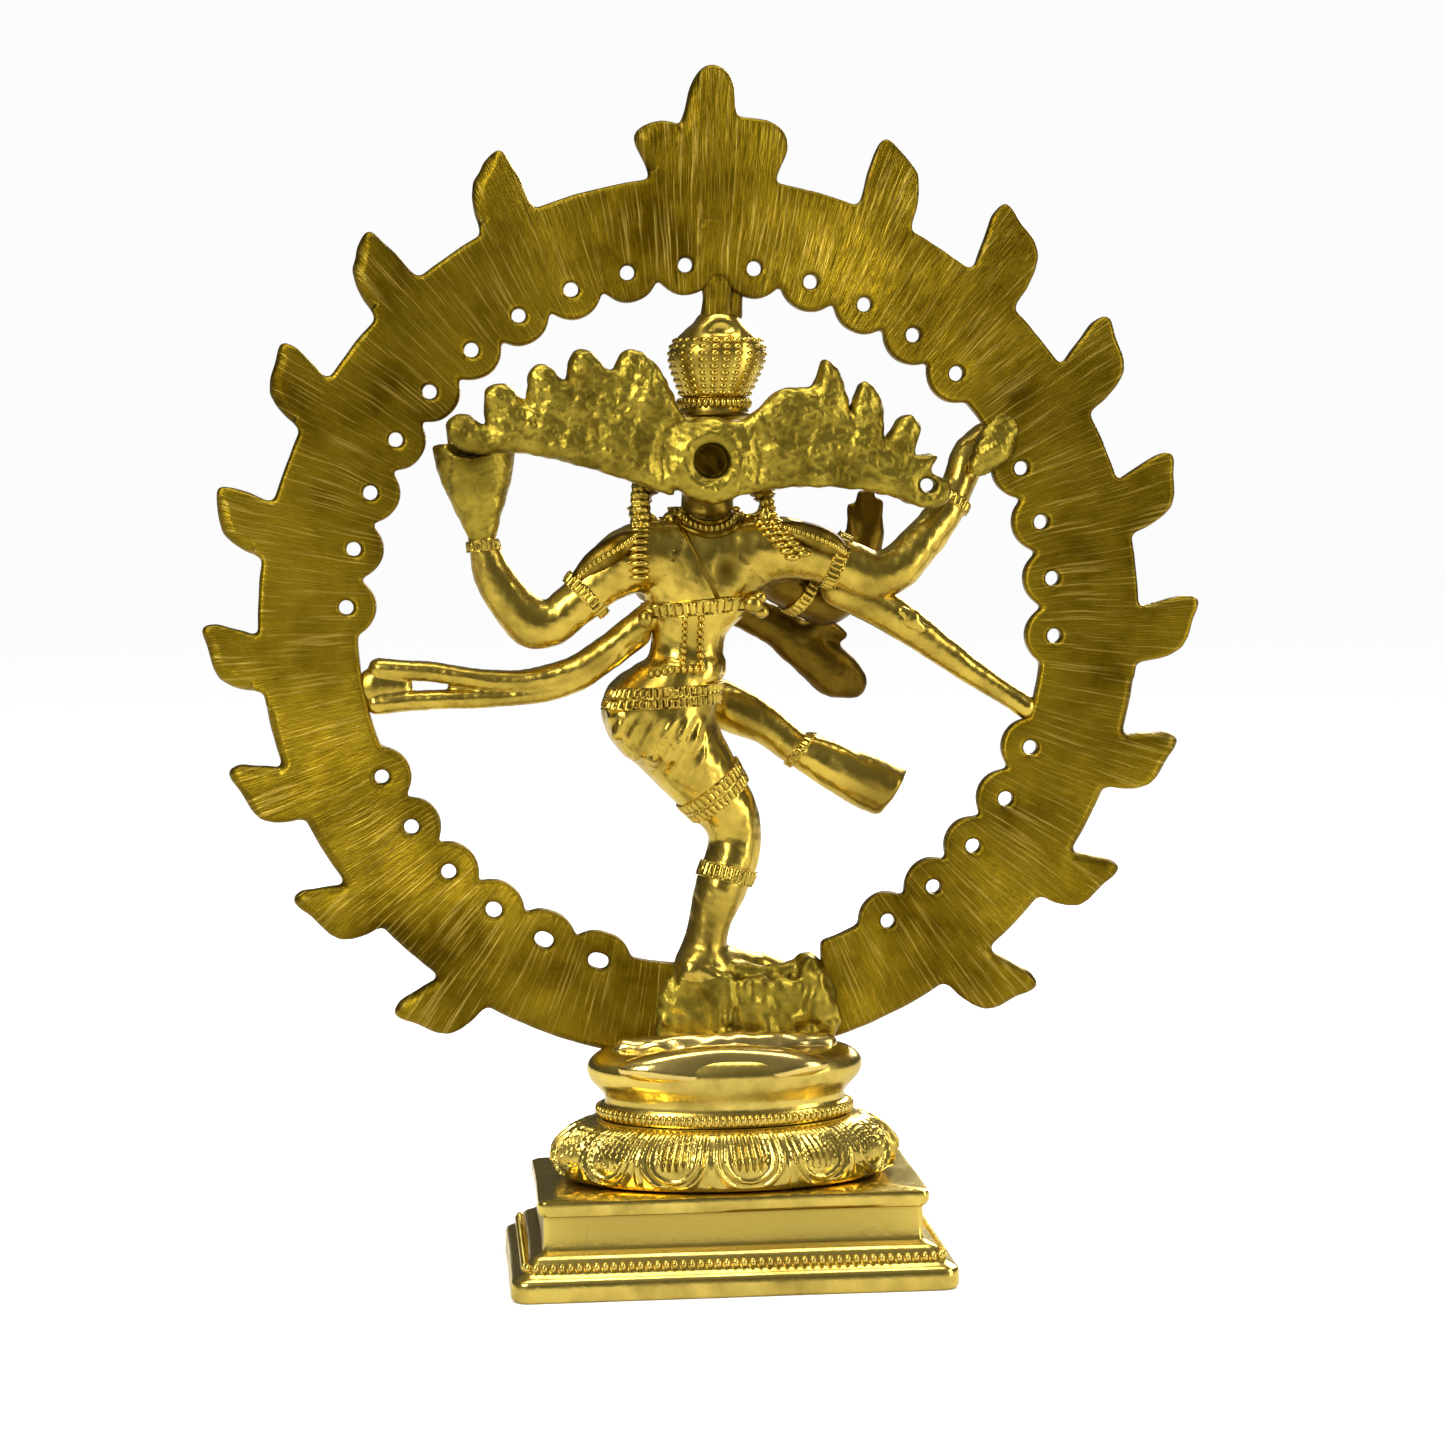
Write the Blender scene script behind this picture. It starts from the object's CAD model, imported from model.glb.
import math

import bmesh
import bpy
import numpy as np
from mathutils import Matrix, Vector


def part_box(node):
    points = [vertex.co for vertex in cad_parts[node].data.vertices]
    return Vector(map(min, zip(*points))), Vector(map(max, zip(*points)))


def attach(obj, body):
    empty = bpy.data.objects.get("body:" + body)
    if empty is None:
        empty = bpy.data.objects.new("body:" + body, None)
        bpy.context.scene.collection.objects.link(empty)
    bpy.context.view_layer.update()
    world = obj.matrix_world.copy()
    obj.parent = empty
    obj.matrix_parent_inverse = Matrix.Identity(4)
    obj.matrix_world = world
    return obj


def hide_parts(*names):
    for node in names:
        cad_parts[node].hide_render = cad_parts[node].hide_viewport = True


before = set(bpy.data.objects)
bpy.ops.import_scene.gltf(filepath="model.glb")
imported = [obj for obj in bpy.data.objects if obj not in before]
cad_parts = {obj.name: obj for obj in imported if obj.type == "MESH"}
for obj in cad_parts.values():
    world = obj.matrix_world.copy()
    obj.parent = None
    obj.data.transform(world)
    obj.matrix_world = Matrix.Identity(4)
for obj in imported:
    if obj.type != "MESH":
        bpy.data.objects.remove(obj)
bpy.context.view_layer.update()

# The statue is shaped in millimetres in the row's frame and turned to metres when a mesh is made.
MM = 0.001
FAR = 9.0  # the distance that an empty block of clay holds
JUST_OUTSIDE = 0.05


def mm_box(node):
    """The lowest and highest corners of a CAD node, in millimetres."""
    lo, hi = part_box(node)
    return np.array(lo) / MM, np.array(hi) / MM


# ------------------------------------------------------------------ meshes


def mesh_piece(name, verts, faces, material, smooth_angle=50):
    """A named piece from millimetre points and faces (an array of quads, or lists)."""
    mesh = bpy.data.meshes.new(name)
    verts = np.asarray(verts, np.float32) * MM
    if isinstance(faces, np.ndarray):
        count = len(faces)
        mesh.vertices.add(len(verts))
        mesh.vertices.foreach_set("co", verts.ravel())
        mesh.loops.add(4 * count)
        mesh.loops.foreach_set("vertex_index", faces.astype(np.int32).ravel())
        mesh.polygons.add(count)
        mesh.polygons.foreach_set("loop_start", np.arange(0, 4 * count, 4, dtype=np.int32))
        mesh.update(calc_edges=True)
        mesh.validate()
    else:
        mesh.from_pydata([tuple(map(float, v)) for v in verts], [], faces)
        mesh.update()
    mesh.polygons.foreach_set("use_smooth", np.ones(len(mesh.polygons), bool))
    mesh.set_sharp_from_angle(angle=math.radians(smooth_angle))
    mesh.materials.append(material)
    piece = bpy.data.objects.new(name, mesh)
    bpy.context.scene.collection.objects.link(piece)
    return piece


def settle(piece, slot, *nodes):
    """The piece rides with the statue, takes its slot and stands for its CAD nodes."""
    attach(piece, "root")
    if nodes:
        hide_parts(*nodes)
    return piece


def thin_out(piece, ratio):
    """Merges the faces of flat stretches, keeping the shape."""
    modifier = piece.modifiers.new("thin", "DECIMATE")
    modifier.ratio = ratio
    with bpy.context.temp_override(object=piece, active_object=piece):
        bpy.ops.object.modifier_apply(modifier=modifier.name)
    return piece


# ------------------------------------------------------------------ clay: blocks of signed distance


def soft_min(a, b, k):
    """The smaller of two distances, rounded where they meet over about k mm."""
    if k <= 0:
        return np.minimum(a, b)
    h = np.maximum(k - np.abs(a - b), 0) / k
    return np.minimum(a, b) - h * h * k * 0.25


def soft_max(a, b, k):
    return -soft_min(-a, -b, k)


class Clay:
    """A block of space on a grid, holding the distance to the shape built in it."""

    def __init__(self, lo, hi, step):
        self.step = step
        self.lo = np.array(lo, float)
        counts = np.ceil((np.array(hi, float) - self.lo) / step).astype(int) + 1
        self.axes = [self.lo[i] + step * np.arange(counts[i]) for i in range(3)]
        self.field = np.full(tuple(counts), FAR, np.float32)

    def window(self, lo, hi):
        """The part of the grid inside a box: its slices and its X, Y and Z."""
        cut = []
        for i in range(3):
            first = int(np.clip((lo[i] - self.lo[i]) / self.step, 0, len(self.axes[i]) - 2))
            last = int(np.clip((hi[i] - self.lo[i]) / self.step + 2, first + 2, len(self.axes[i])))
            cut.append(slice(first, last))
        x, y, z = (self.axes[i][cut[i]].astype(np.float32) for i in range(3))
        return tuple(cut), (x[:, None, None], y[None, :, None], z[None, None, :])

    def join(self, shape, k=0.0, margin=2.5):
        lo, hi, distance = shape
        cut, at = self.window(lo - margin, hi + margin)
        self.field[cut] = soft_min(self.field[cut], distance(*at), k)

    def carve(self, shape, k=0.4, margin=1.5):
        lo, hi, distance = shape
        cut, at = self.window(lo - margin, hi + margin)
        self.field[cut] = soft_max(self.field[cut], -distance(*at), k)

    def emboss(self, lo, hi, height):
        """Raises the surface by height(x, y, z) mm inside a box; a negative height sinks it."""
        cut, at = self.window(np.array(lo, float), np.array(hi, float))
        self.field[cut] -= height(*at)

    def grid(self):
        """The X, Y and Z of the whole block."""
        return self.axes[0][:, None, None], self.axes[1][None, :, None], self.axes[2][None, None, :]

    def piece(self, name, material, smooth_angle=60):
        verts, quads = skin(self.field, self.lo, self.step)
        return mesh_piece(name, verts, quads, material, smooth_angle)


CORNERS = [(i, j, k) for i in (0, 1) for j in (0, 1) for k in (0, 1)]
CELL_EDGES = [(a, b) for a in range(8) for b in range(a + 1, 8)
              if sum(abs(CORNERS[a][i] - CORNERS[b][i]) for i in range(3)) == 1]


def skin(field, lo, step):
    """Vertices and quads of the zero surface of a block of distances."""
    field = field.copy()
    for axis in range(3):
        edge = [slice(None)] * 3
        for end in (0, -1):
            edge[axis] = end
            field[tuple(edge)] = np.maximum(field[tuple(edge)], JUST_OUTSIDE)
    # Points of clay with hardly a neighbour would leave loose crumbs of surface.
    for _ in range(3):
        inside = field < 0
        neighbours = sum(np.roll(inside, way, axis).astype(np.int8) for axis in range(3) for way in (1, -1))
        field[inside & (neighbours < 2)] = JUST_OUTSIDE
    inside = field < 0
    shape = np.array(field.shape) - 1
    total = np.zeros(tuple(shape), np.int8)
    for c in CORNERS:
        total += inside[c[0]:c[0] + shape[0], c[1]:c[1] + shape[1], c[2]:c[2] + shape[2]]
    cells = np.argwhere((total > 0) & (total < 8))
    number = np.full(tuple(shape), -1, np.int64)
    number[tuple(cells.T)] = np.arange(len(cells))
    values = np.stack([field[tuple((cells + c).T)] for c in CORNERS], 1)
    sums = np.zeros((len(cells), 3))
    hits = np.zeros(len(cells))
    for a, b in CELL_EDGES:
        crossed = (values[:, a] < 0) != (values[:, b] < 0)
        t = values[crossed, a] / (values[crossed, a] - values[crossed, b])
        start, end = np.array(CORNERS[a], float), np.array(CORNERS[b], float)
        sums[crossed] += start + t[:, None] * (end - start)
        hits[crossed] += 1
    verts = lo + step * (cells + sums / hits[:, None])
    quads = []
    for axis in range(3):
        u, v = (axis + 1) % 3, (axis + 2) % 3
        low, high = [slice(1, -1)] * 3, [slice(1, -1)] * 3
        low[axis], high[axis] = slice(0, -1), slice(1, None)
        first, second = inside[tuple(low)], inside[tuple(high)]
        for leaving, order in ((True, (0, 1, 2, 3)), (False, (3, 2, 1, 0))):
            spots = np.argwhere((first != second) & (first == leaving))
            for i in (u, v):
                spots[:, i] += 1
            around = []
            for du, dv in ((-1, -1), (0, -1), (0, 0), (-1, 0)):
                s = spots.copy()
                s[:, u] += du
                s[:, v] += dv
                around.append(number[tuple(s.T)])
            quads.append(np.stack([around[i] for i in order], 1))
    return verts, np.concatenate(quads)


# ------------------------------------------------------------------ shapes for the clay


def extent(shapes, margin=0.0):
    """The lowest and highest corners of a box round several shapes."""
    return np.min([s[0] for s in shapes], axis=0) - margin, np.max([s[1] for s in shapes], axis=0) + margin


def smooth_rows(rows, per_span=5):
    """Rows of numbers joined by a Catmull-Rom curve."""
    rows = np.array(rows, float)
    padded = np.vstack([2 * rows[0] - rows[1], rows, 2 * rows[-1] - rows[-2]])
    out = []
    for i in range(1, len(padded) - 2):
        a, b, c, d = padded[i - 1:i + 3]
        for t in np.arange(per_span) / per_span:
            out.append(0.5 * (2 * b + (c - a) * t + (2 * a - 5 * b + 4 * c - d) * t * t
                              + (3 * b - a - 3 * c + d) * t ** 3))
    out.append(rows[-1])
    return np.array(out)


def limb(rows, flat=None, ratio=1.0, per_span=5):
    """A round limb through rows (x, y, z, radius); ratio squeezes it along the direction flat."""
    line = smooth_rows(rows, per_span) if len(rows) > 2 else np.array(rows, float)
    ends, radii = line[:, :3], line[:, 3]
    reach = radii.max()
    axis = None if flat is None else np.array(flat, float) / np.linalg.norm(flat)
    extra = 1.0 / ratio ** 2 - 1.0

    def distance(x, y, z):
        best = None
        for a, b, ra, rb in zip(ends[:-1], ends[1:], radii[:-1], radii[1:]):
            d = b - a
            t = ((x - a[0]) * d[0] + (y - a[1]) * d[1] + (z - a[2]) * d[2]) / max(d @ d, 1e-9)
            t = np.clip(t, 0, 1)
            ox, oy, oz = x - a[0] - t * d[0], y - a[1] - t * d[1], z - a[2] - t * d[2]
            square = ox * ox + oy * oy + oz * oz
            if axis is not None:
                square = square + extra * (ox * axis[0] + oy * axis[1] + oz * axis[2]) ** 2
            near = np.sqrt(square) - (ra + t * (rb - ra))
            best = near if best is None else np.minimum(best, near)
        return best * (ratio ** 0.5)

    return ends.min(0) - reach, ends.max(0) + reach, distance


def egg(centre, radii):
    """An ellipsoid along the row axes."""
    c, r = np.array(centre, float), np.array(radii, float)

    def distance(x, y, z):
        px, py, pz = (x - c[0]) / r[0], (y - c[1]) / r[1], (z - c[2]) / r[2]
        k0 = np.sqrt(px * px + py * py + pz * pz)
        k1 = np.sqrt((px / r[0]) ** 2 + (py / r[1]) ** 2 + (pz / r[2]) ** 2) + 1e-6
        return k0 * (k0 - 1.0) / k1

    return c - r, c + r, distance


def stack(rows, power=2.0):
    """An upright body through level ovals (x, y, z, half width, half depth)."""
    line = smooth_rows(sorted(rows, key=lambda row: row[2]), 6)
    levels = line[:, 2]

    def distance(x, y, z):
        height = np.clip(z, levels[0], levels[-1])
        cx, cy, a, b = (np.interp(height.ravel(), levels, line[:, i]).reshape(height.shape)
                        for i in (0, 1, 3, 4))
        px, py = np.abs(x - cx) / a, np.abs(y - cy) / b
        round_ = (px ** power + py ** power) ** (1.0 / power)
        side = (round_ - 1.0) * np.minimum(a, b)
        return soft_max(side, np.abs(z - (levels[0] + levels[-1]) / 2) - (levels[-1] - levels[0]) / 2, 0.8)

    reach = np.array([line[:, 3].max(), line[:, 4].max(), 0])
    lo = np.array([line[:, 0].min(), line[:, 1].min(), levels[0]]) - reach
    hi = np.array([line[:, 0].max(), line[:, 1].max(), levels[-1]]) + reach
    return lo, hi, distance


def cut_beyond(shape, spot, normal, k=0.5):
    """The shape with everything past a plane cut away."""
    lo, hi, distance = shape
    n = np.array(normal, float) / np.linalg.norm(normal)

    def cut(x, y, z):
        return soft_max(distance(x, y, z), (x - spot[0]) * n[0] + (y - spot[1]) * n[1] + (z - spot[2]) * n[2], k)

    return lo, hi, cut


def ripple(x, y, z, size, seed, waves=7):
    """A smooth random unevenness between about -1 and 1 with lumps about size mm across."""
    dice = np.random.default_rng(seed)
    total = 0
    for _ in range(waves):
        k = dice.normal(size=3)
        k *= 2 * math.pi / (size * 2.2 * np.linalg.norm(k)) * dice.uniform(0.6, 1.5)
        total = total + np.sin(x * k[0] + y * k[1] + z * k[2] + dice.uniform(0, 6.28))
    return total / (waves ** 0.5 * 1.2)


def outline_of(node, skipped=(0, 0)):
    """The segments of a flat plate's outline and holes, read from the widest +Y face of its CAD mesh."""
    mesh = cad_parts[node].data
    co = np.zeros(3 * len(mesh.vertices))
    mesh.vertices.foreach_get("co", co)
    co = co.reshape(-1, 3) / MM
    mesh.calc_loop_triangles()
    levels = {}
    for tri in mesh.loop_triangles:
        corners = co[list(tri.vertices)]
        if tri.normal[1] > 0.999 and np.ptp(corners[:, 1]) < 0.01:
            levels.setdefault(round(float(corners[0, 1]), 2), []).append((tri.area, corners))
    face = max(levels.values(), key=lambda tris: sum(area for area, _ in tris))
    seen = {}
    for _, corners in face:
        keys = [tuple(np.round(c[[0, 2]], 3)) for c in corners]
        for a, b in ((0, 1), (1, 2), (2, 0)):
            pair = tuple(sorted((keys[a], keys[b])))
            seen[pair] = seen.get(pair, 0) + 1
    edges = [pair for pair, times in seen.items() if times == 1 and pair[0] != pair[1]]
    kept = set()
    for loop in loops_of(edges):
        if not skipped[0] < np.ptp(np.array(loop), axis=0).max() < skipped[1]:
            kept.update(loop)
    return np.array([pair for pair in edges if pair[0] in kept])


def loops_of(edges):
    """Groups the points of an outline that hang together."""
    beside = {}
    for a, b in edges:
        a, b = tuple(a), tuple(b)
        beside.setdefault(a, []).append(b)
        beside.setdefault(b, []).append(a)
    seen, loops = set(), []
    for start in beside:
        if start in seen:
            continue
        loop, queue = [], [start]
        seen.add(start)
        while queue:
            point = queue.pop()
            loop.append(point)
            for other in beside[point]:
                if other not in seen:
                    seen.add(other)
                    queue.append(other)
        loops.append(loop)
    return loops


def flat_distance(segments, xs, zs, reach=4.0):
    """Signed distance to a closed flat outline on a grid: below zero inside."""
    step = xs[1] - xs[0]
    near = np.full((len(xs), len(zs)), reach, float)
    for a, b in segments:
        i0 = max(int((min(a[0], b[0]) - reach - xs[0]) / step), 0)
        i1 = int((max(a[0], b[0]) + reach - xs[0]) / step) + 2
        k0 = max(int((min(a[1], b[1]) - reach - zs[0]) / step), 0)
        k1 = int((max(a[1], b[1]) + reach - zs[0]) / step) + 2
        x, z = xs[i0:i1, None], zs[None, k0:k1]
        d = b - a
        t = np.clip(((x - a[0]) * d[0] + (z - a[1]) * d[1]) / max(d @ d, 1e-9), 0, 1)
        gap = np.hypot(x - a[0] - t * d[0], z - a[1] - t * d[1])
        near[i0:i1, k0:k1] = np.minimum(near[i0:i1, k0:k1], gap)
    ax, az, bx, bz = segments[:, 0, 0], segments[:, 0, 1], segments[:, 1, 0], segments[:, 1, 1]
    for k, level in enumerate(zs):
        level = level + 1.3e-4
        across = (az > level) != (bz > level)
        cuts = np.sort(ax[across] + (level - az[across]) * (bx[across] - ax[across])
                       / (bz[across] - az[across]))
        within = np.searchsorted(cuts, xs) % 2 == 1
        near[within, k] *= -1
    return near


# ------------------------------------------------------------------ swept and beaded ornament


def bead_template():
    """A small round bead: points on a unit sphere and its triangles."""
    bead = bpy.data.meshes.new("bead")
    shape = bmesh.new()
    bmesh.ops.create_icosphere(shape, subdivisions=2, radius=1.0)
    shape.to_mesh(bead)
    shape.free()
    verts = np.array([v.co for v in bead.vertices])
    faces = [list(p.vertices) for p in bead.polygons]
    bpy.data.meshes.remove(bead)
    return verts, faces


BEAD_VERTS, BEAD_FACES = bead_template()


class Ornament:
    """Collects beads and swept strips that are cast on as one piece."""

    def __init__(self):
        self.verts = []
        self.faces = []

    def add(self, verts, faces):
        start = sum(len(v) for v in self.verts)
        self.verts.append(np.asarray(verts, float))
        self.faces += [[start + i for i in face] for face in faces]

    def bead(self, spot, radii):
        self.add(BEAD_VERTS * np.array(radii, float) + np.array(spot, float), BEAD_FACES)

    def string(self, path, pitch, radii, closed=True):
        """Beads at an even pitch along a path."""
        for spot in even_spots(path, pitch, closed=closed):
            self.bead(spot, radii)

    def tube(self, path, radii, closed=False, sides=10, squash=1.0, up=(0, 1, 0)):
        """A round strip along a path; squash flattens it along up."""
        path = np.asarray(path, float)
        count = len(path)
        radii = np.broadcast_to(radii, (count,))
        ahead = np.roll(path, -1, 0) - np.roll(path, 1, 0)
        if not closed:
            ahead[0], ahead[-1] = path[1] - path[0], path[-1] - path[-2]
        ahead /= np.linalg.norm(ahead, axis=1)[:, None]
        v = np.array(up, float) - ahead * (ahead @ np.array(up, float))[:, None]
        v /= np.linalg.norm(v, axis=1)[:, None] + 1e-9
        u = np.cross(ahead, v)
        turn = np.arange(sides) * 2 * math.pi / sides
        along_u, along_v = np.cos(turn)[None, :, None], (squash * np.sin(turn))[None, :, None]
        ring = (u[:, None] * along_u + v[:, None] * along_v)
        verts = (path[:, None] + ring * radii[:, None, None]).reshape(-1, 3)
        faces = []
        for i in range(count if closed else count - 1):
            j = (i + 1) % count
            for s in range(sides):
                n = (s + 1) % sides
                faces.append([i * sides + s, i * sides + n, j * sides + n, j * sides + s])
        if not closed:
            faces.append(list(range(sides))[::-1])
            faces.append([(count - 1) * sides + s for s in range(sides)])
        self.add(verts, faces)

    def piece(self, name, material, smooth_angle=50):
        return mesh_piece(name, np.vstack(self.verts), self.faces, material, smooth_angle)


def even_spots(path, pitch, closed=True):
    """Points at an even pitch along a path."""
    path = np.asarray(path, float)
    if closed:
        path = np.vstack([path, path[:1]])
    run = np.concatenate([[0], np.cumsum(np.linalg.norm(np.diff(path, axis=0), axis=1))])
    count = max(int(round(run[-1] / pitch)), 3)
    marks = np.linspace(0, run[-1], count, endpoint=not closed)
    return np.stack([np.interp(marks, run, path[:, i]) for i in range(3)], 1)


def level_oval(centre, half_width, half_depth, count=72):
    """A closed level oval."""
    turn = np.arange(count) * 2 * math.pi / count
    return np.array(centre) + np.stack([-half_width * np.cos(turn), half_depth * np.sin(turn), 0 * turn], 1)


# ------------------------------------------------------------------ brass


def add_node(tree, kind, inputs=(), **settings):
    """A shader node: its settings first, then its inputs, linked where a socket is given."""
    made = tree.nodes.new("ShaderNode" + kind)
    for name, value in settings.items():
        setattr(made, name, value)
    for key, value in dict(inputs).items():
        if isinstance(value, bpy.types.NodeSocket):
            tree.links.new(value, made.inputs[key])
        else:
            made.inputs[key].default_value = value
    return made


def compute(tree, operation, *values):
    """The output of a Math node."""
    return add_node(tree, "Math", dict(enumerate(values)), operation=operation).outputs[0]


def remap(tree, value, low, high, new_low=0.0, new_high=1.0):
    """Low to high stretched to new_low to new_high, and held at both ends."""
    ends = {"From Min": low, "From Max": high, "To Min": new_low, "To Max": new_high}
    return add_node(tree, "MapRange", {"Value": value, **ends}).outputs["Result"]


def brass(name, bright, dark, rough, grain, grain_size, tarnish, filed=None, mottle=(130.0, 0.40, 0.68),
          stains=()):
    """Cast brass: bright metal, darker with tarnish in recesses, in patches and in stains.

    rough is the roughness of clean and of tarnished metal, mottle the scale of the patches and where
    they start and end, and a stain is its place, inner and outer radius in mm and strength.
    """
    material = bpy.data.materials.new(name)
    material.use_nodes = True
    tree = material.node_tree
    shader = tree.nodes["Principled BSDF"]
    shader.inputs["Metallic"].default_value = 1.0
    place = add_node(tree, "TexCoord").outputs["Object"]

    noise = add_node(tree, "TexNoise", {"Scale": mottle[0], "Detail": 7.0, "Roughness": 0.6, "Vector": place})
    patches = add_node(tree, "ValToRGB", {"Fac": noise.outputs["Fac"]})
    for element, position in zip(patches.color_ramp.elements, mottle[1:]):
        element.position = position
    recess = remap(tree, add_node(tree, "NewGeometry").outputs["Pointiness"], 0.50, 0.44)
    dirt = compute(tree, "MULTIPLY", patches.outputs["Color"], tarnish)
    dirt = compute(tree, "MAXIMUM", dirt, recess)
    for spot, inner, outer, share in stains:
        away = add_node(tree, "VectorMath", {0: place, 1: tuple(c * MM for c in spot)}, operation="DISTANCE")
        stain = remap(tree, away.outputs["Value"], outer * MM, inner * MM, 0.0, share)
        dirt = compute(tree, "MAXIMUM", dirt, stain)

    colour = add_node(tree, "Mix", {"A": (*bright, 1), "B": (*dark, 1), "Factor": dirt}, data_type="RGBA")
    base = colour.outputs["Result"]
    fine = add_node(tree, "TexNoise", {"Scale": 1.0 / (grain_size * MM), "Detail": 4.0, "Vector": place})
    height = fine.outputs["Fac"]
    if filed:
        base, height = file_marks(tree, place, base, height, filed)
    bump = add_node(tree, "Bump", {"Strength": grain, "Distance": 0.0001, "Height": height})
    for key, value in (("Base Color", base), ("Normal", bump.outputs["Normal"]),
                       ("Roughness", remap(tree, dirt, 0.0, 1.0, *rough))):
        tree.links.new(value, shader.inputs[key])
    return material


def file_marks(tree, place, base, grain, centre):
    """Coarse file scratches that run across the band of the arch, out from its centre."""
    split = add_node(tree, "SeparateXYZ", {0: place}).outputs
    across = compute(tree, "SUBTRACT", split["X"], centre[0] * MM)
    up = compute(tree, "SUBTRACT", split["Z"], centre[1] * MM)
    wander = add_node(tree, "TexNoise", {"Scale": 45.0, "Vector": place}).outputs["Fac"]
    angle = compute(tree, "MULTIPLY_ADD", wander, 0.035, compute(tree, "ARCTAN2", across, up))
    flat = add_node(tree, "CombineXYZ", {"X": across, "Y": up}).outputs[0]
    radius = add_node(tree, "VectorMath", {0: flat}, operation="LENGTH").outputs["Value"]
    polar = add_node(tree, "CombineXYZ", {"X": angle, "Y": radius}).outputs[0]
    layers = []
    for turns, run, low, high in ((150.0, 70.0, 0.54, 0.76), (420.0, 130.0, 0.42, 0.64)):
        stretched = add_node(tree, "VectorMath", {0: polar, 1: (turns, run, 1.0)},
                             operation="MULTIPLY").outputs[0]
        lines = add_node(tree, "TexNoise", {"Scale": 1.0, "Detail": 2.0, "Vector": stretched})
        layers.append(remap(tree, lines.outputs["Fac"], low, high))
    scratches = compute(tree, "MULTIPLY_ADD", layers[1], 0.7, layers[0])
    share = compute(tree, "MULTIPLY", layers[0], 0.65)
    tint = add_node(tree, "Mix", {"A": base, "B": (0.52, 0.37, 0.07, 1), "Factor": share}, data_type="RGBA")
    return tint.outputs["Result"], compute(tree, "MULTIPLY_ADD", grain, 0.35, scratches)


ARCH_LO, ARCH_HI = mm_box("flame_arch")
ARCH_X, ARCH_Z = 2.4, 108.6

FAN_BACK = mm_box("hair_fan")[1][1]
HUB = (1.5, 135.7)
# Where the figure stays brown: round the neck, between the shoulders, the lower shin, the raised foot and the
# waist.
FIGURE_STAINS = (((1.4, -1.0, 129.0), 3.0, 8.5, 0.85), ((10.0, -4.0, 130.0), 2.0, 5.5, 0.85),
                 ((-7.0, -4.0, 130.5), 2.0, 5.5, 0.85),
                 ((-1.1, 1.2, 117.8), 1.2, 3.6, 0.95), ((2.2, -5.0, 57.0), 3.0, 9.0, 0.55),
                 ((-29.0, -13.0, 79.5), 3.0, 9.0, 0.62),
                 ((-7.0, -13.0, 91.5), 2.0, 6.5, 0.5), ((4.6, 0.6, 106.0), 1.0, 4.5, 0.5),
                 ((21.0, -2.0, 103.0), 1.5, 5.0, 0.55))
POLISHED = brass("polished_brass", (0.67, 0.485, 0.08), (0.09, 0.047, 0.001), (0.21, 0.42), 0.35, 1.2, 0.66,
                 stains=FIGURE_STAINS)
BASE = brass("polished_base_brass", (0.80, 0.61, 0.14), (0.12, 0.07, 0.002), (0.20, 0.38), 0.35, 1.2, 0.5)
DULL = brass("tarnished_brass", (0.17, 0.105, 0.011), (0.035, 0.018, 0.001), (0.34, 0.52), 0.6, 0.8, 0.7)
FILED = brass("filed_brass", (0.265, 0.178, 0.008), (0.060, 0.035, 0.0005), (0.33, 0.46), 0.55, 0.5, 0.95,
              filed=(ARCH_X, ARCH_Z), mottle=(50.0, 0.38, 0.66),
              stains=(((1.0, 2.8, 180.0), 4.0, 17.0, 0.85), ((-66.0, 2.8, 132.0), 3.0, 20.0, 0.6),
                      ((-44.0, 2.8, 158.0), 2.0, 12.0, 0.5), ((62.0, 2.8, 74.0), 2.0, 12.0, 0.45)))
ROUGH = brass("rough_cast_brass", (0.38, 0.285, 0.035), (0.05, 0.028, 0.001), (0.33, 0.50), 0.7, 0.45, 0.75,
              mottle=(190.0, 0.42, 0.66), stains=(((HUB[0], FAN_BACK - 2.0, HUB[1]), 2.6, 3.9, 1.0),
                                                  ((41.0, 0.0, 137.4), 1.5, 5.5, 0.9)))
BRIGHT = brass("braze_metal", (0.84, 0.64, 0.20), (0.30, 0.19, 0.03), (0.20, 0.36), 0.3, 0.9, 0.25)

# ------------------------------------------------------------------ flame arch


def arch_turn(x, z):
    """Angle in degrees from the -X side up over the crown, and distance from the centre."""
    return np.degrees(np.arctan2(z - ARCH_Z, ARCH_X - x)) % 360, np.hypot(x - ARCH_X, z - ARCH_Z)


def blurred(values, passes=2):
    """Evens out a flat field a little, which rounds its corners."""
    for _ in range(passes):
        for axis in (0, 1):
            values = (np.roll(values, 1, axis) + 2 * values + np.roll(values, -1, axis)) / 4
    return values


def small_holes(segments, widest=4.0):
    """The middles of an outline's small round holes."""
    loops = [np.array(loop) for loop in loops_of(segments)]
    return [(loop.min(0) + loop.max(0)) / 2 for loop in loops if np.ptp(loop, axis=0).max() < widest]


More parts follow.
